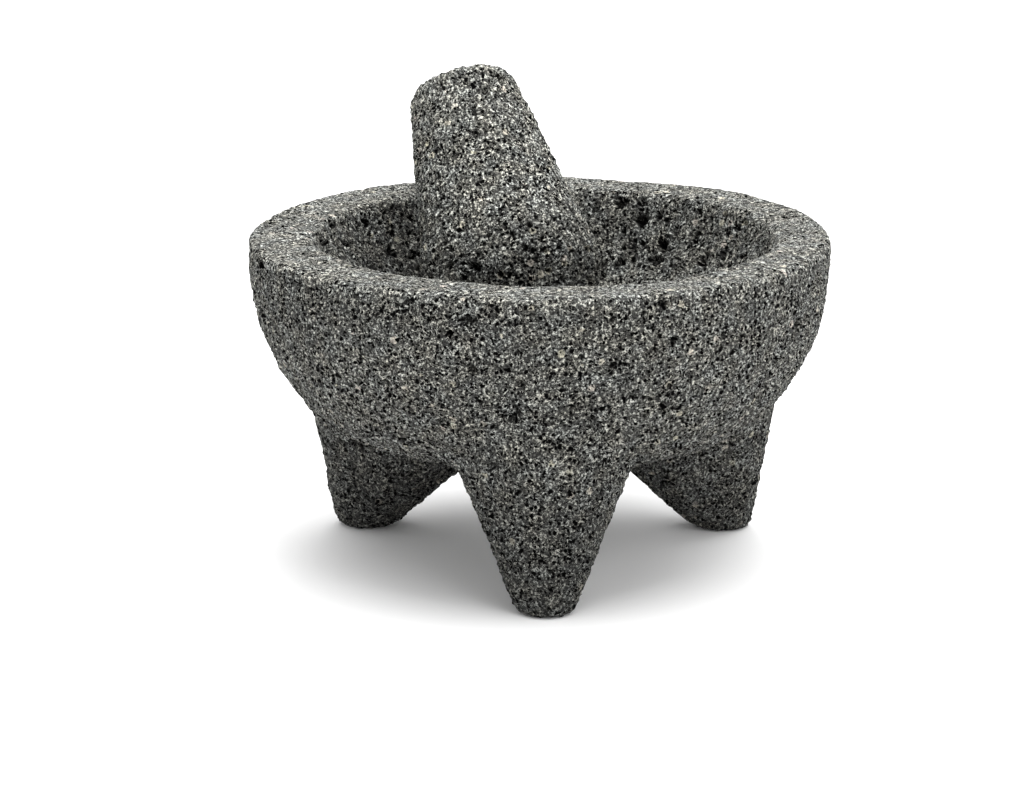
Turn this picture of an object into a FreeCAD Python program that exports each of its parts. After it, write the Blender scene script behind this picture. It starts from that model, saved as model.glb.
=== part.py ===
import FreeCAD, Part
import math
import os

# A stone mortar and pestle. The mortar is one carved block: a thick round bowl on three
# tapered legs. The pestle is a second block, a blunt tapered bar with a domed grinding
# end, and it lies in the bowl leaning back to one side.
# Millimetres. The origin is on the floor under the middle of the rim, +Z up, and the
# front leg points along -Y.

# ---- driving dimensions: bowl ----
BODY_HEIGHT = 117.0
RIM_RADIUS = 102.0
RIM_EDGE_RADIUS = 4.0
SIDE_ARC_RADIUS = 84.0
SIDE_ARC_DEPTH = 7.0
SIDE_ARC_TURN = 39.0
LOWER_ARC_RADIUS = 52.0

# ---- driving dimensions: hollow of the bowl, a cap of a sphere ----
HOLLOW_RADIUS = 82.0
HOLLOW_DEPTH = 53.0
HOLLOW_SHIFT = 1.6
HOLLOW_EDGE_RADIUS = 4.0

# ---- driving dimensions: legs, as ellipses at rising heights ----
# height, distance from the axis, half width along the radius, half width across it
LEG_SECTIONS = (
    (0.0, 72.5, 9.0, 8.5),
    (3.5, 72.0, 12.7, 12.6),
    (12.0, 69.5, 17.0, 16.6),
    (24.0, 66.5, 22.0, 21.2),
    (62.0, 52.0, 33.5, 33.0),
)
LEG_ANGLES = (-89.0, 26.0, 151.0)

# ---- driving dimensions: pestle ----
PESTLE_SHOULDER_RADIUS = 32.0
PESTLE_DOME_DEPTH = 27.5
PESTLE_SHAFT_LENGTH = 79.0
PESTLE_TIP_RADIUS = 18.1
PESTLE_TIP_ROUND = 12.0
PESTLE_TILT = 34.5
PESTLE_TURN = 26.4
PESTLE_DOME_X = -11.2
PESTLE_DOME_Y = 16.9
PESTLE_CLEARANCE = 0.35

Z_AXIS = FreeCAD.Vector(0, 0, 1)


def point(radius, height):
    """A point of a half outline in the XZ plane."""
    return FreeCAD.Vector(radius, 0, height)


def on_circle(centre, radius, degrees):
    """The point of a circle in the XZ plane at an angle from +X."""
    angle = math.radians(degrees)
    return centre + radius * point(math.cos(angle), math.sin(angle))


def arc(centre, radius, first, last):
    """An arc in the XZ plane between two angles."""
    middle = on_circle(centre, radius, 0.5 * (first + last))
    return Part.Arc(on_circle(centre, radius, first), middle, on_circle(centre, radius, last)).toShape()


def line(start, end):
    """A straight edge."""
    return Part.LineSegment(start, end).toShape()


def turned(edges):
    """The solid that a closed half outline sweeps about the Z axis."""
    return Part.Face(Part.Wire(edges)).revolve(FreeCAD.Vector(), Z_AXIS, 360)


def bowl_block():
    """The block before it is hollowed: a rim, a side in two arcs and a flat underside."""
    round_centre = point(RIM_RADIUS - RIM_EDGE_RADIUS, BODY_HEIGHT - RIM_EDGE_RADIUS)
    side_centre = point(RIM_RADIUS - SIDE_ARC_RADIUS, BODY_HEIGHT - SIDE_ARC_DEPTH)
    lower_centre = on_circle(side_centre, SIDE_ARC_RADIUS - LOWER_ARC_RADIUS, -SIDE_ARC_TURN)
    side_start = on_circle(side_centre, SIDE_ARC_RADIUS, 0)
    lower_end = on_circle(lower_centre, LOWER_ARC_RADIUS, -90)
    top_middle = point(0, BODY_HEIGHT)
    under_middle = point(0, lower_end.z)
    return turned([
        line(top_middle, on_circle(round_centre, RIM_EDGE_RADIUS, 90)),
        arc(round_centre, RIM_EDGE_RADIUS, 90, 0),
        line(on_circle(round_centre, RIM_EDGE_RADIUS, 0), side_start),
        arc(side_centre, SIDE_ARC_RADIUS, 0, -SIDE_ARC_TURN),
        arc(lower_centre, LOWER_ARC_RADIUS, -SIDE_ARC_TURN, -90),
        line(lower_end, under_middle),
        line(under_middle, top_middle),
    ])


def hollow_sphere_radius():
    """The radius of the sphere that the hollow is a cap of."""
    return (HOLLOW_RADIUS ** 2 + HOLLOW_DEPTH ** 2) / (2 * HOLLOW_DEPTH)


def hollow_centre():
    """The middle of that sphere, above the rim."""
    height = BODY_HEIGHT - HOLLOW_DEPTH + hollow_sphere_radius()
    return FreeCAD.Vector(HOLLOW_SHIFT, 0, height)


def leg_section(section, turn):
    """One ellipse of a leg, turned about the Z axis to where the leg stands."""
    height, reach, along, across = section
    wire = Part.Wire(Part.Ellipse(FreeCAD.Vector(reach, 0, height), along, across).toShape())
    wire.rotate(FreeCAD.Vector(), Z_AXIS, turn)
    return wire


def leg(turn):
    """A tapered leg that narrows sharply at the bottom to a small flat foot."""
    wires = [leg_section(section, turn) for section in LEG_SECTIONS]
    return Part.makeLoft(wires, True, True)


def is_lip(edge):
    """True for the circle where the hollow meets the flat top of the rim."""
    box = edge.BoundBox
    return box.ZMin > BODY_HEIGHT - 0.01 and box.XLength < 2 * HOLLOW_RADIUS + 0.01


def mortar():
    """The block and its legs as one stone, hollowed, with the hollow's lip rounded."""
    stone = bowl_block().fuse([leg(turn) for turn in LEG_ANGLES]).removeSplitter()
    stone = stone.cut(Part.makeSphere(hollow_sphere_radius(), hollow_centre()))
    lip = [edge for edge in stone.Edges if is_lip(edge)]
    return stone.makeFillet(HOLLOW_EDGE_RADIUS, lip)


def pestle():
    """The tapered bar with its domed end, leaning in the bowl just clear of its floor."""
    shoulder = PESTLE_SHOULDER_RADIUS
    dome_radius = (shoulder ** 2 + PESTLE_DOME_DEPTH ** 2) / (2 * PESTLE_DOME_DEPTH)
    dome_edge = math.degrees(math.asin(shoulder / dome_radius)) - 90
    rise = dome_radius - PESTLE_DOME_DEPTH
    taper = math.degrees(math.atan2(shoulder - PESTLE_TIP_RADIUS, PESTLE_SHAFT_LENGTH))
    # The outline has its zero at the middle of the dome's sphere.
    tip_height = PESTLE_SHAFT_LENGTH - rise
    round_height = tip_height - PESTLE_TIP_ROUND
    side_at_round = shoulder - (round_height + rise) * math.tan(math.radians(taper))
    round_centre = point(side_at_round - PESTLE_TIP_ROUND / math.cos(math.radians(taper)), round_height)
    shoulder_point = point(shoulder, -rise)
    outline = [
        arc(point(0, 0), dome_radius, -90, dome_edge),
        line(shoulder_point, on_circle(round_centre, PESTLE_TIP_ROUND, taper)),
        arc(round_centre, PESTLE_TIP_ROUND, taper, 90),
        line(on_circle(round_centre, PESTLE_TIP_ROUND, 90), point(0, tip_height)),
        line(point(0, tip_height), point(0, -dome_radius)),
    ]
    stone = turned(outline)
    hollow = hollow_centre()
    aside = math.hypot(PESTLE_DOME_X - hollow.x, PESTLE_DOME_Y - hollow.y)
    apart = hollow_sphere_radius() - dome_radius - PESTLE_CLEARANCE
    height = hollow.z - math.sqrt(apart ** 2 - aside ** 2)
    stone.rotate(FreeCAD.Vector(), FreeCAD.Vector(1, 0, 0), -PESTLE_TILT)
    stone.rotate(FreeCAD.Vector(), Z_AXIS, PESTLE_TURN)
    stone.translate(FreeCAD.Vector(PESTLE_DOME_X, PESTLE_DOME_Y, height))
    return stone


def save(shape, node):
    """Writes a node's STEP file and says how large it came out."""
    shape.exportStep("parts/" + node + ".step")
    box = shape.optimalBoundingBox()
    sides = [round(side, 1) for side in (box.XLength, box.YLength, box.ZLength)]
    print(node, "valid", shape.isValid(), sides, "mm", round(shape.Volume / 1000), "cm3")


os.makedirs("parts", exist_ok=True)
mortar_stone = mortar()
pestle_stone = pestle()
save(mortar_stone, "mortar")
save(pestle_stone, "pestle")
print("gap", round(mortar_stone.distToShape(pestle_stone)[0], 2), "mm")
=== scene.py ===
import bpy
import math
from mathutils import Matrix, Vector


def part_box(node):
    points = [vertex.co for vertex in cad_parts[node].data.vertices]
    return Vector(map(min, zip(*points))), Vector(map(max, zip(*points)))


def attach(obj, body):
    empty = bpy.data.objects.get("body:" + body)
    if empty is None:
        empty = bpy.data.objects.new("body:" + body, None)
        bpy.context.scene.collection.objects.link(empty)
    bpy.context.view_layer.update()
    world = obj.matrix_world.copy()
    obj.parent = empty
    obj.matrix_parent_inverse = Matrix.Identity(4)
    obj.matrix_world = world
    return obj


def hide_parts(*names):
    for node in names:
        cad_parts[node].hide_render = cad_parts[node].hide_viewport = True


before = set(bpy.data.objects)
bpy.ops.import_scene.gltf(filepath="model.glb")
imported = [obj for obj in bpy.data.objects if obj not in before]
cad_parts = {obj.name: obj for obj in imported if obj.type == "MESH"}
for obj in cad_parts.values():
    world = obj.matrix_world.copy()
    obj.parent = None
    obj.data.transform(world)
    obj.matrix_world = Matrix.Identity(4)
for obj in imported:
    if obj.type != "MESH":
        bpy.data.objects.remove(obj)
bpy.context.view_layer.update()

# ---- The mortar ---------------------------------------------------------------------
# One block of grey porous basalt, carved by hand into a thick round bowl on three
# tapered legs. Its solid shape comes first, in millimetres, and then its face is broken
# up into the lumps and open gas bubbles that the chisel leaves. It stands on its feet.

MM = 0.001
mortar_low, mortar_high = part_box("mortar")
MORTAR_SIZES = {
    "Height": mortar_high.z / MM,
    "Rim Radius": (mortar_high.x - mortar_low.x) / 2 / MM + 1.0,
    "Side Radius": 84.0,  # the side is an arc of this radius, from its widest ring down
    "Side Depth": 4.8,  # the widest ring lies so far below the rim
    "Side Shift": -0.8,  # the outside's middle is so far to the right
    "Underside Height": 43.5,
    "Underside Rounding": 24.0,
    "Rim Rounding": 3.5,
    "Hollow Radius": 82.0,
    "Hollow Depth": 53.0,
    "Hollow Shift": 1.6,  # the hollow's middle is so far to the right
    "Lip Rounding": 3.0,
    "Foot Width": 10.0,  # half of a leg's width at the table
    "Foot Rounding": 5.0,
    "Leg Widening": 0.41,  # a leg's half width grows so much for each millimetre up
    "Leg Outside": 84.3,  # a foot's outer and inner side, out from the mortar's middle
    "Leg Outside Slope": 0.155,
    "Leg Inside": 63.5,
    "Leg Inside Slope": -1.1,
    "Leg Blend": 5.0,
}
LEGS = ((-89.0, 0.0), (27.0, 0.3), (151.0, 0.0))  # direction in degrees, and how far further out
LEG_STEEPNESS = 0.9  # a leg's side slopes, so the distance to it is shorter than straight across
MORTAR_STRAYING = (38.0, 1.1)  # the shape strays from true over such a length, by so much
MORTAR_VOXEL = 1.15
MORTAR_BRIGHTNESS = 0.78
CARVING_ROOM = 6.0  # millimetres of air kept all round a piece while it is carved
MOST_TRIANGLES = 195000


def add(tree, kind, sockets=None, **settings):
    """Adds a node with its settings, and joins or fills its sockets."""
    made = tree.nodes.new(kind)
    for name, value in settings.items():
        setattr(made, name, value)
    for socket, value in (sockets or {}).items():
        if isinstance(value, bpy.types.NodeSocket):
            tree.links.new(value, made.inputs[socket])
        else:
            made.inputs[socket].default_value = value
    return made


def calc(tree, operation, *values):
    """One step of arithmetic on numbers."""
    return add(tree, "ShaderNodeMath", dict(enumerate(values)), operation=operation).outputs[0]


def calc_vector(tree, operation, *values):
    """One step of arithmetic on vectors, which gives a vector."""
    return add(tree, "ShaderNodeVectorMath", dict(enumerate(values)), operation=operation).outputs[0]


def scaled(tree, vector, factor):
    """A vector times a number."""
    made = add(tree, "ShaderNodeVectorMath", {0: vector, "Scale": factor}, operation="SCALE")
    return made.outputs[0]


def length_of(tree, x, y, z=0.0):
    """The distance of a point from the origin, from its parts."""
    corner = add(tree, "ShaderNodeCombineXYZ", {0: x, 1: y, 2: z}).outputs[0]
    return add(tree, "ShaderNodeVectorMath", {0: corner}, operation="LENGTH").outputs["Value"]


def parts_of(tree, vector):
    """The three parts of a vector."""
    return add(tree, "ShaderNodeSeparateXYZ", {0: vector}).outputs


def spread(tree, value, first, last):
    """A value stretched so that first gives 0 and last gives 1, and held between them."""
    return add(tree, "ShaderNodeMapRange", {"Value": value, 1: first, 2: last}).outputs[0]


def wander(tree, place, size, amount):
    """A soft random push of each point, up to an amount, that changes over a size."""
    noise = add(tree, "ShaderNodeTexNoise", {"Vector": place, "Scale": 1 / size, "Detail": 1.0})
    centred = calc_vector(tree, "SUBTRACT", noise.outputs["Color"], (0.5, 0.5, 0.5))
    return scaled(tree, centred, 2 * amount)


def new_tree(name, sizes):
    """A geometry tree with one named input for each size, and the sizes' sockets."""
    tree = bpy.data.node_groups.new(name, "GeometryNodeTree")
    tree.interface.new_socket("Geometry", in_out="OUTPUT", socket_type="NodeSocketGeometry")
    identifiers = {}
    for size in sizes:
        socket = tree.interface.new_socket(size, in_out="INPUT", socket_type="NodeSocketFloat")
        identifiers[size] = socket.identifier
    entry = tree.nodes.new("NodeGroupInput")
    sockets = {size: entry.outputs[size] for size in sizes}
    return tree, sockets, identifiers


def share_in(tree, place, part):
    """How far a place lies in a part of the piece, from 0 to 1.

    A part is given by two heights and two distances out from the middle, in millimetres:
    the share grows from 0 at the first of each to 1 at the second.
    """
    x, y, z = parts_of(tree, place)
    heights, distances = part
    tall = spread(tree, z, *heights)
    wide = spread(tree, length_of(tree, x, y), *distances)
    return calc(tree, "MULTIPLY", tall, wide)


EVERYWHERE = (-1.0, 0.0)
RIM_TOP = ((113.5, 116.5), EVERYWHERE)
HOLLOW = ((56.0, 60.0), (87.0, 81.0))
MORTAR_LEGS = ((80.0, 20.0), EVERYWHERE)
# Painted light and shade: a paler rim top where light falls; a darker hollow, lower body and legs in
# shade.
MORTAR_PAINTED_LIGHT_AND_SHADE = ((RIM_TOP, 1.45), (HOLLOW, 0.95), (MORTAR_LEGS, 0.58))  # how bright each part is

# The bubbles' sizes are in millimetres. The other numbers are in widths of a cell.
LARGE_BUBBLES = {"cell": 7.5, "biggest": 2.2, "share": 0.3}
MIDDLE_BUBBLES = {"cell": 3.4, "biggest": 1.15, "share": 0.5}
BUBBLE_BENDS = ((0.8, 0.42), (0.25, 0.16))  # a bend's length, and how far it pushes
PATCHES = 0.2  # patches of closer bubbles for each cell's width
PATCHINESS = 1.2  # how much more a patch has than its neighbours
SIZE_SPREAD = 0.4  # a smaller number makes the bubbles more alike


def bubbles(tree, place, cell, biggest, share, more=0.0):
    """How deep the open gas bubbles of one size go below the stone's face.

    One bubble at most lies in each cell, a share of the cells has one, and each is cut
    by the face where it happens to lie, so the openings differ in size and depth. They
    are bent out of round, and they lie closer together in some patches than in others.
    """
    bent = place
    for length, push in BUBBLE_BENDS:
        bent = calc_vector(tree, "ADD", bent, wander(tree, place, length * cell, push * cell))
    cells = add(tree, "ShaderNodeTexVoronoi", {"Vector": bent, "Scale": 1 / cell})
    chance = parts_of(tree, cells.outputs["Color"])[0]
    patch = add(tree, "ShaderNodeTexNoise", {"Vector": place, "Scale": PATCHES / cell, "Detail": 1.0})
    usual = 1 - PATCHINESS / 2 - share
    needed = calc(tree, "MULTIPLY_ADD", patch.outputs["Fac"], PATCHINESS, usual)
    needed = calc(tree, "SUBTRACT", needed, more)
    present = calc(tree, "MAXIMUM", calc(tree, "SUBTRACT", chance, needed), 0.0)
    radius = calc(tree, "MULTIPLY", calc(tree, "POWER", present, SIZE_SPREAD),
                  biggest / share ** SIZE_SPREAD)
    distance = calc(tree, "MULTIPLY", cells.outputs["Distance"], cell)
    squares = calc(tree, "SUBTRACT", calc(tree, "MULTIPLY", radius, radius),
                   calc(tree, "MULTIPLY", distance, distance))
    return calc(tree, "SQRT", calc(tree, "MAXIMUM", squares, 0.0))


LUMPS = ((22.0, 0.8), (5.0, 0.85), (1.8, 1.15))  # length and height of the lumps, in millimetres
PITTING = 0.3  # how many more of the cells have a bubble in the pitted part
SMOOTHED = 0.65  # the worn part's face has lost this share of its height


def broken_face(tree, place, worn_part, pitted_part):
    """The height of the worked stone's face over the smooth shape, in millimetres."""
    height = 0.0
    for length, amount in LUMPS:
        noise = add(tree, "ShaderNodeTexNoise", {"Vector": place, "Scale": 1 / length, "Detail": 2.0})
        centred = calc(tree, "SUBTRACT", noise.outputs["Fac"], 0.5)
        height = calc(tree, "ADD", height, calc(tree, "MULTIPLY", centred, 2 * amount))
    pitted = calc(tree, "MULTIPLY", share_in(tree, place, pitted_part), PITTING)
    for kind in (LARGE_BUBBLES, MIDDLE_BUBBLES):
        height = calc(tree, "SUBTRACT", height, bubbles(tree, place, more=pitted, **kind))
    kept = calc(tree, "MULTIPLY_ADD", share_in(tree, place, worn_part), -SMOOTHED, 1.0)
    return calc(tree, "MULTIPLY", height, kept)


SKIN_DENSITY = 0.5  # the solid field's density at the stone's skin
SKIN_STEEPNESS = 0.25  # and how fast it falls for each millimetre out


def carve(tree, solid, low, high, voxel, material, worn_part, pitted_part, laid=None):
    """Ends a tree: turns a solid field into a mesh with a broken stone face.

    The face is calmer in the worn part and has more bubbles in the pitted part.
    The attribute raw keeps each point's place on the smooth shape, in millimetres, so
    that the material's bubbles are the same ones as the mesh's. A piece that is made
    upright is laid in its place at the end.
    """
    steps = [max(8, int((b - a) / voxel)) for a, b in zip(low, high)]
    filled = calc(tree, "SUBTRACT", SKIN_DENSITY, calc(tree, "MULTIPLY", solid, SKIN_STEEPNESS))
    held = add(tree, "ShaderNodeClamp", {0: filled}).outputs[0]
    cube = add(tree, "GeometryNodeVolumeCube", {
        "Density": held, "Background": 0.0,
        "Min": [a * MM for a in low], "Max": [b * MM for b in high],
        "Resolution X": steps[0], "Resolution Y": steps[1], "Resolution Z": steps[2]})
    skin = add(tree, "GeometryNodeVolumeToMesh", {"Volume": cube.outputs[0], "Threshold": SKIN_DENSITY})
    fine = add(tree, "GeometryNodeSubdivisionSurface", {"Mesh": skin.outputs[0], "Level": 1})
    place = scaled(tree, add(tree, "GeometryNodeInputPosition").outputs[0], 1 / MM)
    marked = add(tree, "GeometryNodeStoreNamedAttribute",
                 {"Geometry": fine.outputs[0], "Name": "raw", "Value": place},
                 data_type="FLOAT_VECTOR", domain="POINT")
    raw = add(tree, "GeometryNodeInputNamedAttribute", {"Name": "raw"}, data_type="FLOAT_VECTOR")
    height = broken_face(tree, raw.outputs[0], worn_part, pitted_part)
    normal = add(tree, "GeometryNodeInputNormal").outputs[0]
    offset = scaled(tree, normal, calc(tree, "MULTIPLY", height, MM))
    moved = add(tree, "GeometryNodeSetPosition", {"Geometry": marked.outputs[0], "Offset": offset})
    stone = add(tree, "GeometryNodeSetShadeSmooth", {"Geometry": moved.outputs[0]})
    if laid:
        stone = add(tree, "GeometryNodeTransform", {"Geometry": stone.outputs[0], **laid})
    whole = add(tree, "GeometryNodeRealizeInstances", {"Geometry": stone.outputs[0]})
    done = add(tree, "GeometryNodeSetMaterial", {"Geometry": whole.outputs[0], "Material": material})
    tree.links.new(done.outputs[0], tree.nodes.new("NodeGroupOutput").inputs[0])


def mesh_from(name, tree, sizes, identifiers):
    """Runs a tree on an empty object and keeps the result as a plain mesh."""
    holder = bpy.data.objects.new(name + "_tree", bpy.data.meshes.new(name + "_start"))
    bpy.context.scene.collection.objects.link(holder)
    modifier = holder.modifiers.new("carve", "NODES")
    modifier.node_group = tree
    for size, value in sizes.items():
        modifier[identifiers[size]] = value
    evaluated = holder.evaluated_get(bpy.context.evaluated_depsgraph_get())
    mesh = bpy.data.meshes.new_from_object(evaluated)
    mesh.name = name
    bpy.data.objects.remove(holder)
    piece = bpy.data.objects.new(name, mesh)
    bpy.context.scene.collection.objects.link(piece)
    return piece


def thin_out(piece, most):
    """Merges the flattest faces until a piece has at most so many triangles."""
    triangles = sum(len(face.vertices) - 2 for face in piece.data.polygons)
    if triangles <= most:
        return
    modifier = piece.modifiers.new("thin", "DECIMATE")
    modifier.ratio = most / triangles
    evaluated = piece.evaluated_get(bpy.context.evaluated_depsgraph_get())
    mesh = bpy.data.meshes.new_from_object(evaluated)
    mesh.name = piece.data.name + "_thin"
    piece.modifiers.remove(modifier)
    piece.data = mesh


def mortar_solid(tree, size):
    """The distance from the mortar's smooth surface, in millimetres, negative in stone."""
    place = scaled(tree, add(tree, "GeometryNodeInputPosition").outputs[0], 1 / MM)
    place = calc_vector(tree, "ADD", place, wander(tree, place, *MORTAR_STRAYING))
    x, y, z = parts_of(tree, place)

    # The side curves in below its widest ring, and rounds into a flat underside.
    out = length_of(tree, calc(tree, "SUBTRACT", x, size["Side Shift"]), y)
    widest = calc(tree, "SUBTRACT", size["Height"], size["Side Depth"])
    below_widest = calc(tree, "SUBTRACT", z, widest)
    ring = calc(tree, "SUBTRACT", size["Rim Radius"], size["Side Radius"])
    beyond_ring = calc(tree, "SUBTRACT", out, ring)
    side = length_of(tree, beyond_ring, calc(tree, "MINIMUM", below_widest, 0.0))
    side = calc(tree, "SUBTRACT", side, size["Side Radius"])
    under = calc(tree, "SUBTRACT", size["Underside Height"], z)
    stone = calc(tree, "SMOOTH_MAX", side, under, size["Underside Rounding"])

    # Each leg is a round-ended wedge that grows wider and deeper as it goes up.
    def sloped(start, slope):
        return calc(tree, "MULTIPLY_ADD", z, size[slope], size[start])

    width = sloped("Foot Width", "Leg Widening")
    outer = calc(tree, "SUBTRACT", sloped("Leg Outside", "Leg Outside Slope"), width)
    inner = calc(tree, "ADD", sloped("Leg Inside", "Leg Inside Slope"), width)
    for angle, further in LEGS:
        turned = add(tree, "ShaderNodeVectorRotate", {"Vector": place, "Angle": math.radians(-angle)},
                     rotation_type="Z_AXIS").outputs[0]
        leg_x, leg_y = parts_of(tree, turned)[:2]
        leg_x = calc(tree, "SUBTRACT", leg_x, further)
        outside = calc(tree, "MAXIMUM", calc(tree, "SUBTRACT", leg_x, outer), 0.0)
        inside = calc(tree, "MINIMUM", calc(tree, "SUBTRACT", leg_x, inner), 0.0)
        around = length_of(tree, calc(tree, "ADD", outside, inside), leg_y)
        leg = calc(tree, "MULTIPLY", calc(tree, "SUBTRACT", around, width), LEG_STEEPNESS)
        stone = calc(tree, "SMOOTH_MIN", stone, leg, size["Leg Blend"])
    below_table = calc(tree, "MULTIPLY", z, -1.0)
    stone = calc(tree, "SMOOTH_MAX", stone, below_table, size["Foot Rounding"])
    above_rim = calc(tree, "SUBTRACT", z, size["Height"])
    stone = calc(tree, "SMOOTH_MAX", stone, above_rim, size["Rim Rounding"])

    # The hollow is the cap of a ball that meets the rim's level at the hollow's radius.
    squares = calc(tree, "ADD", calc(tree, "POWER", size["Hollow Radius"], 2.0),
                   calc(tree, "POWER", size["Hollow Depth"], 2.0))
    ball = calc(tree, "DIVIDE", squares, calc(tree, "MULTIPLY", size["Hollow Depth"], 2.0))
    hollow_floor = calc(tree, "SUBTRACT", size["Height"], size["Hollow Depth"])
    ball_height = calc(tree, "ADD", hollow_floor, ball)
    hollow_x = calc(tree, "SUBTRACT", x, size["Hollow Shift"])
    hollow_z = calc(tree, "SUBTRACT", z, ball_height)
    hollow = calc(tree, "SUBTRACT", ball, length_of(tree, hollow_x, y, hollow_z))
    return calc(tree, "SMOOTH_MAX", stone, hollow, size["Lip Rounding"])


def grained(tree, place, size, low, high, detail=2.0, roughness=0.5):
    """A random grey that changes over a size, stretched so that low gives 0 and high 1."""
    noise = add(tree, "ShaderNodeTexNoise", {
        "Vector": place, "Scale": 1 / size, "Detail": detail, "Roughness": roughness})
    return spread(tree, noise.outputs["Fac"], low, high)


def blended(tree, share, first, second):
    """A colour part of the way from a first one to a second one."""
    made = add(tree, "ShaderNodeMix", {0: share, 6: first, 7: second}, data_type="RGBA")
    return made.outputs[2]


# The ground of the stone is a fine mix of black and pale grains, with a faint change of
# tint and a few larger crystals. Pores too small for the mesh lie over it. Pores and
# bubbles are darkened by their depth: painted shade in their hollows.
GROUND = {"size": 1.1, "low": 0.4, "high": 0.6, "detail": 3.0, "roughness": 0.95}
GROUND_GREYS = ((0.0, 0.01), (0.25, 0.05), (0.5, 0.09), (0.7, 0.16), (0.84, 0.41), (1.0, 0.78))
GROUND_BLUE = 0.92  # the grains are a little yellow: they have this share of blue
TINT = {"size": 7.0, "low": 0.35, "high": 0.65}
COOL_TINT = (0.97, 1.0, 1.02, 1)
WARM_TINT = (1.02, 1.0, 0.95, 1)
CRYSTAL_CELL = 3.3
CRYSTAL_BEND = (1.0, 0.6)
CRYSTAL_LUCK = (0.95, 0.96)  # one cell in about twenty has a crystal
CRYSTAL_EDGE = (0.46, 0.38)
CRYSTAL_SHARE = 0.9
GREEN_CRYSTAL = (0.85, 0.82, 0.64, 1)
PINK_CRYSTAL = (0.9, 0.82, 0.74, 1)
CRYSTAL_GREYS = (0.9, 0.25)  # how much a crystal follows the ground, and how bright it is without
PORES = {"cell": 1.65, "biggest": 0.73, "share": 0.9}
FINE_PORES = {"cell": 0.95, "biggest": 0.42, "share": 0.75}
# Painted shade: pores and bubbles darken with depth, standing in for the shade inside them.
PORE_SHADE = 5.0  # how dark each millimetre of depth makes a pore or a bubble
LARGE_SHADE = 0.35
MIDDLE_SHADE = 0.9
WORN_SHADE = 0.5  # the worn part's pores have lost this share of their darkness
# Painted shade: the colour of a pore at its deepest.
PAINTED_PORE_SHADE = (0.003, 0.003, 0.003, 1)
GROUND_HEIGHT = 0.5
LEAST_ROUGHNESS = 0.75
MORE_ROUGHNESS = 0.15
SHINE = 0.3


def basalt_group():
    """The shared basalt pattern: colour with painted shade in pores, roughness, and the grain's height.
    """
    group = bpy.data.node_groups.new("basalt pattern", "ShaderNodeTree")
    group.interface.new_socket("Place", in_out="INPUT", socket_type="NodeSocketVector")
    for name in ("Brightness", "Wear", "Pitting"):
        group.interface.new_socket(name, in_out="INPUT", socket_type="NodeSocketFloat")
    group.interface.new_socket("Colour", in_out="OUTPUT", socket_type="NodeSocketColor")
    for name in ("Roughness", "Shine", "Height"):
        group.interface.new_socket(name, in_out="OUTPUT", socket_type="NodeSocketFloat")
    entry = group.nodes.new("NodeGroupInput")
    place = entry.outputs["Place"]
    pitted = entry.outputs["Pitting"]

    ground = grained(group, place, **GROUND)
    ramp = add(group, "ShaderNodeValToRGB", {0: ground})
    while len(ramp.color_ramp.elements) < len(GROUND_GREYS):
        ramp.color_ramp.elements.new(0.5)
    for element, (position, grey) in zip(ramp.color_ramp.elements, GROUND_GREYS):
        element.position = position
        element.color = (grey, grey, grey * GROUND_BLUE, 1)
    tint = blended(group, grained(group, place, **TINT), COOL_TINT, WARM_TINT)
    colour = calc_vector(group, "MULTIPLY", ramp.outputs[0], tint)

    bent = calc_vector(group, "ADD", place, wander(group, place, *CRYSTAL_BEND))
    crystals = add(group, "ShaderNodeTexVoronoi", {"Vector": bent, "Scale": 1 / CRYSTAL_CELL})
    luck, kind = parts_of(group, crystals.outputs["Color"])[:2]
    lucky = spread(group, luck, *CRYSTAL_LUCK)
    close = spread(group, crystals.outputs["Distance"], *CRYSTAL_EDGE)
    crystal = calc(group, "MULTIPLY", lucky, close)
    mineral = blended(group, kind, GREEN_CRYSTAL, PINK_CRYSTAL)
    mineral = scaled(group, mineral, calc(group, "MULTIPLY_ADD", ground, *CRYSTAL_GREYS))
    colour = blended(group, calc(group, "MULTIPLY", crystal, CRYSTAL_SHARE), colour, mineral)

    pores = calc(group, "ADD", bubbles(group, place, **PORES), bubbles(group, place, **FINE_PORES))
    large = bubbles(group, place, more=pitted, **LARGE_BUBBLES)
    middle = bubbles(group, place, more=pitted, **MIDDLE_BUBBLES)
    # Painted shade: the pores and bubbles are darkened by their depth.
    shade = calc(group, "MULTIPLY", pores, PORE_SHADE)
    shade = calc(group, "ADD", shade, calc(group, "MULTIPLY", large, LARGE_SHADE))
    shade = calc(group, "ADD", shade, calc(group, "MULTIPLY", middle, MIDDLE_SHADE))
    unworn = calc(group, "MULTIPLY_ADD", entry.outputs["Wear"], -WORN_SHADE, 1.0)
    shade = calc(group, "MULTIPLY", shade, unworn)
    shade = add(group, "ShaderNodeClamp", {0: shade}).outputs[0]
    colour = blended(group, shade, colour, PAINTED_PORE_SHADE)
    bright = add(group, "ShaderNodeCombineXYZ", {part: entry.outputs["Brightness"] for part in range(3)})
    lit = calc_vector(group, "MULTIPLY", colour, bright.outputs[0])

    rougher = calc(group, "MULTIPLY", ground, MORE_ROUGHNESS)
    roughness = calc(group, "ADD", rougher, LEAST_ROUGHNESS)
    shine = calc(group, "MULTIPLY_ADD", shade, -SHINE, SHINE)  # none in a pore
    height = calc(group, "SUBTRACT", calc(group, "MULTIPLY", ground, GROUND_HEIGHT), pores)
    add(group, "NodeGroupOutput", {
        "Colour": lit, "Roughness": roughness, "Shine": shine, "Height": height})
    return group


basalt = basalt_group()


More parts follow.
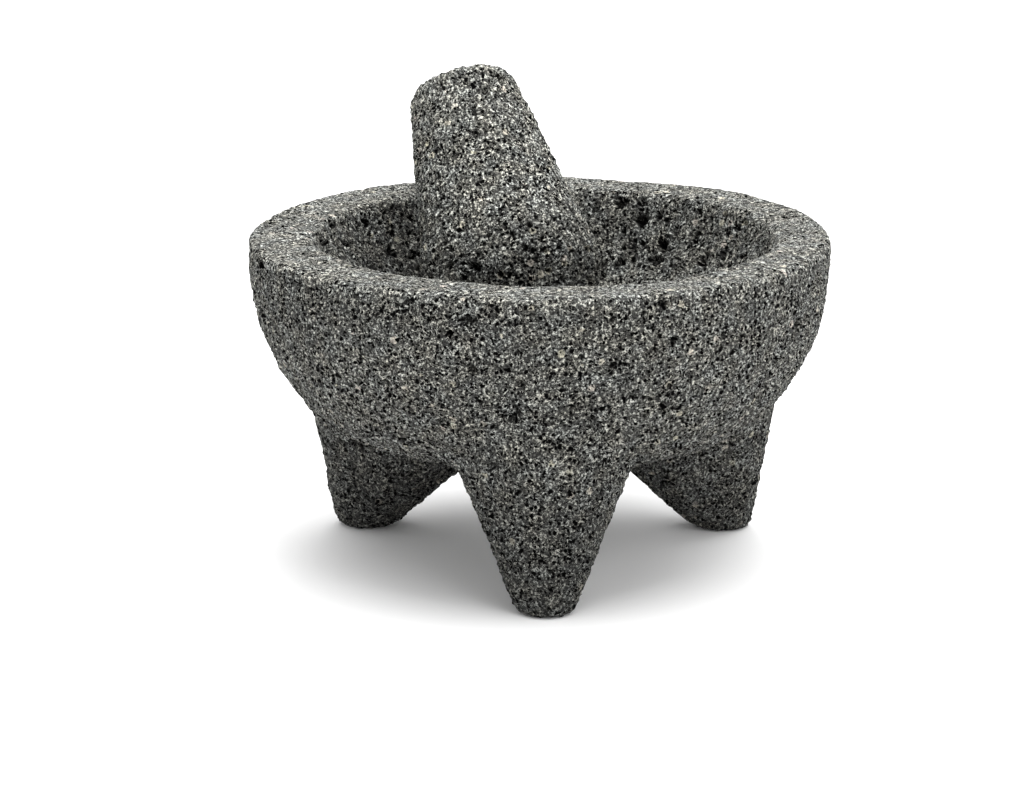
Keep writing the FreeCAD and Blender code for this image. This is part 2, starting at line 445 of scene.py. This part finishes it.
def stone_material(name, brightness, worn_part, pitted_part, painted_light_and_shade):
    """Basalt: the shared pattern, more worn, more pitted, with painted light and shade in some parts."""
    material = bpy.data.materials.new(name)
    material.use_nodes = True
    tree = material.node_tree
    raw = add(tree, "ShaderNodeAttribute", attribute_name="raw").outputs["Vector"]
    # Each part's factor is painted light where it is above 1 and painted shade where it is below 1.
    for part, factor in painted_light_and_shade:
        share = calc(tree, "MULTIPLY_ADD", share_in(tree, raw, part), factor - 1, 1.0)
        brightness = calc(tree, "MULTIPLY", brightness, share)
    pattern = add(tree, "ShaderNodeGroup", node_tree=basalt)
    tree.links.new(raw, pattern.inputs["Place"])
    tree.links.new(brightness, pattern.inputs["Brightness"])
    tree.links.new(share_in(tree, raw, worn_part), pattern.inputs["Wear"])
    pitted = calc(tree, "MULTIPLY", share_in(tree, raw, pitted_part), PITTING)
    tree.links.new(pitted, pattern.inputs["Pitting"])
    shader = tree.nodes["Principled BSDF"]
    tree.links.new(pattern.outputs["Colour"], shader.inputs["Base Color"])
    tree.links.new(pattern.outputs["Roughness"], shader.inputs["Roughness"])
    tree.links.new(pattern.outputs["Shine"], shader.inputs["Specular IOR Level"])
    bump = add(tree, "ShaderNodeBump", {
        "Height": pattern.outputs["Height"], "Distance": MM, "Strength": 1.0})
    tree.links.new(bump.outputs[0], shader.inputs["Normal"])
    return material


mortar_tree, mortar_sockets, mortar_inputs = new_tree("carve mortar", MORTAR_SIZES)
mortar_basalt = stone_material("mortar_basalt", MORTAR_BRIGHTNESS, RIM_TOP, HOLLOW, MORTAR_PAINTED_LIGHT_AND_SHADE)
carve(mortar_tree, mortar_solid(mortar_tree, mortar_sockets),
      [side / MM - CARVING_ROOM for side in mortar_low],
      [side / MM + CARVING_ROOM for side in mortar_high],
      MORTAR_VOXEL, mortar_basalt, RIM_TOP, HOLLOW)
mortar = mesh_from("mortar_stone", mortar_tree, MORTAR_SIZES, mortar_inputs)
thin_out(mortar, MOST_TRIANGLES)
places = [0.0] * (3 * len(mortar.data.vertices))
mortar.data.vertices.foreach_get("co", places)
places[2::3] = [max(height, 0.0) for height in places[2::3]]  # the feet are flat on the table
mortar.data.vertices.foreach_set("co", places)
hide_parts("mortar")
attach(mortar, "mortar")

# ---- The pestle ---------------------------------------------------------------------
# A blunt bar of the same stone, thick and domed at its grinding end and narrow at its
# top. It is loose: its dome stands on the bowl's floor and it leans back to the left.
# It is made upright, with the middle of its dome's ball at the origin, then laid in place.

pestle_low, pestle_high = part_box("pestle")
SHOULDER_RADIUS = 32.8
DOME_DEPTH = 27.3
dome_radius = (SHOULDER_RADIUS ** 2 + DOME_DEPTH ** 2) / (2 * DOME_DEPTH)
PESTLE_SIZES = {
    "Shoulder Radius": SHOULDER_RADIUS,
    "Shoulder Drop": dome_radius - DOME_DEPTH,  # from the middle of the dome's ball
    "Shoulder Rounding": 2.5,
    "Dome Radius": dome_radius,
    "Shaft Length": 77.6,
    "Tip Radius": 18.8,
    "Tip Rounding": 11.5,
}
PESTLE_TILT = 34.5
PESTLE_TURN = 26.4
PESTLE_RISE = 0.9  # millimetres: only the high points of the two broken faces touch
PESTLE_STRAYING = (24.0, 0.8)
PESTLE_VOXEL = 0.75
PESTLE_BRIGHTNESS = 1.13
NOWHERE = ((1000.0, 1001.0), EVERYWHERE)
GRINDING_END = ((7.0, 0.0), EVERYWHERE)
# Painted shade: the domed grinding end, which faces downwards, is made darker.
PESTLE_PAINTED_SHADE = ((GRINDING_END, 0.68),)


def pestle_solid(tree, size):
    """The distance from the upright pestle's smooth surface, in millimetres."""
    place = scaled(tree, add(tree, "GeometryNodeInputPosition").outputs[0], 1 / MM)
    place = calc_vector(tree, "ADD", place, wander(tree, place, *PESTLE_STRAYING))
    x, y, z = parts_of(tree, place)
    out = length_of(tree, x, y)
    up = calc(tree, "ADD", z, size["Shoulder Drop"])
    along = calc(tree, "DIVIDE", up, size["Shaft Length"])
    taper = calc(tree, "SUBTRACT", size["Shoulder Radius"], size["Tip Radius"])
    narrowing = calc(tree, "MULTIPLY", along, taper)
    shaft = calc(tree, "SUBTRACT", out, calc(tree, "SUBTRACT", size["Shoulder Radius"], narrowing))
    tip = calc(tree, "SUBTRACT", size["Shaft Length"], size["Shoulder Drop"])
    above_tip = calc(tree, "SUBTRACT", z, tip)
    shaft = calc(tree, "SMOOTH_MAX", shaft, above_tip, size["Tip Rounding"])
    from_middle = length_of(tree, out, calc(tree, "MINIMUM", z, 0.0))
    dome = calc(tree, "SUBTRACT", from_middle, size["Dome Radius"])
    return calc(tree, "SMOOTH_MAX", shaft, dome, size["Shoulder Rounding"])


pestle_tree, pestle_sockets, pestle_inputs = new_tree("carve pestle", PESTLE_SIZES)
pestle_basalt = stone_material("pestle_basalt", PESTLE_BRIGHTNESS, NOWHERE, GRINDING_END, PESTLE_PAINTED_SHADE)
reach = dome_radius + CARVING_ROOM
laid_in_bowl = {
    "Rotation": (math.radians(-PESTLE_TILT), 0.0, math.radians(PESTLE_TURN)),
    "Translation": (pestle_high.x - dome_radius * MM, pestle_low.y + dome_radius * MM,
                    pestle_low.z + (dome_radius + PESTLE_RISE) * MM),
}
carve(pestle_tree, pestle_solid(pestle_tree, pestle_sockets),
      [-reach, -reach, -reach],
      [reach, reach, PESTLE_SIZES["Shaft Length"] + CARVING_ROOM],
      PESTLE_VOXEL, pestle_basalt, NOWHERE, GRINDING_END, laid_in_bowl)
pestle = mesh_from("pestle_stone", pestle_tree, PESTLE_SIZES, pestle_inputs)
thin_out(pestle, MOST_TRIANGLES)
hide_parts("pestle")
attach(pestle, "pestle")

# ---- Floor, light and camera --------------------------------------------------------
# A plain white table, a large soft lamp overhead, a softer one in front to the right and
# pale light all round. The camera looks down a little, from far off through a long lens.

FLOOR_WIDTH = 8.0
FLOOR_WHITE = (0.9, 0.9, 0.9, 1)
FLOOR_ROUGHNESS = 0.8
BOWL_MIDDLE = 0.08  # the height that the lamps face
ROOM_LIGHT = 0.9
CAMERA_PLACE = (0.0, -1.45, 0.43)
CAMERA_LENS = 147.1
CAMERA_DIP = 14.43
CAMERA_TURN = 0.42

bpy.ops.mesh.primitive_plane_add(size=FLOOR_WIDTH)
floor = bpy.context.object
floor.name = "floor"
floor_paint = bpy.data.materials.new("floor_white")
floor_paint.use_nodes = True
floor_shader = floor_paint.node_tree.nodes["Principled BSDF"]
floor_shader.inputs["Base Color"].default_value = FLOOR_WHITE
floor_shader.inputs["Roughness"].default_value = FLOOR_ROUGHNESS
floor.data.materials.append(floor_paint)


def soft_lamp(name, place, width, power):
    """A square lamp that faces the bowl."""
    lamp = bpy.data.lights.new(name, "AREA")
    lamp.size = width
    lamp.energy = power
    holder = bpy.data.objects.new(name, lamp)
    holder.location = place
    bpy.context.scene.collection.objects.link(holder)
    aim = holder.location.copy()
    aim.z -= BOWL_MIDDLE
    holder.rotation_euler = aim.to_track_quat("Z", "Y").to_euler()


soft_lamp("overhead", place=(0.2, 0.25, 2.2), width=2.4, power=90.0)
soft_lamp("front", place=(0.9, -1.5, 1.1), width=1.0, power=12.0)

world = bpy.data.worlds.new("studio")
world.use_nodes = True
background = world.node_tree.nodes["Background"]
background.inputs["Color"].default_value = (1, 1, 1, 1)
background.inputs["Strength"].default_value = ROOM_LIGHT
bpy.context.scene.world = world
bpy.context.scene.view_settings.view_transform = "Standard"

camera = bpy.data.cameras.new("camera")
camera.lens = CAMERA_LENS
camera_holder = bpy.data.objects.new("camera", camera)
camera_holder.location = CAMERA_PLACE
camera_holder.rotation_euler = (math.radians(90 - CAMERA_DIP), 0.0, math.radians(CAMERA_TURN))
bpy.context.scene.collection.objects.link(camera_holder)
bpy.context.scene.camera = camera_holder
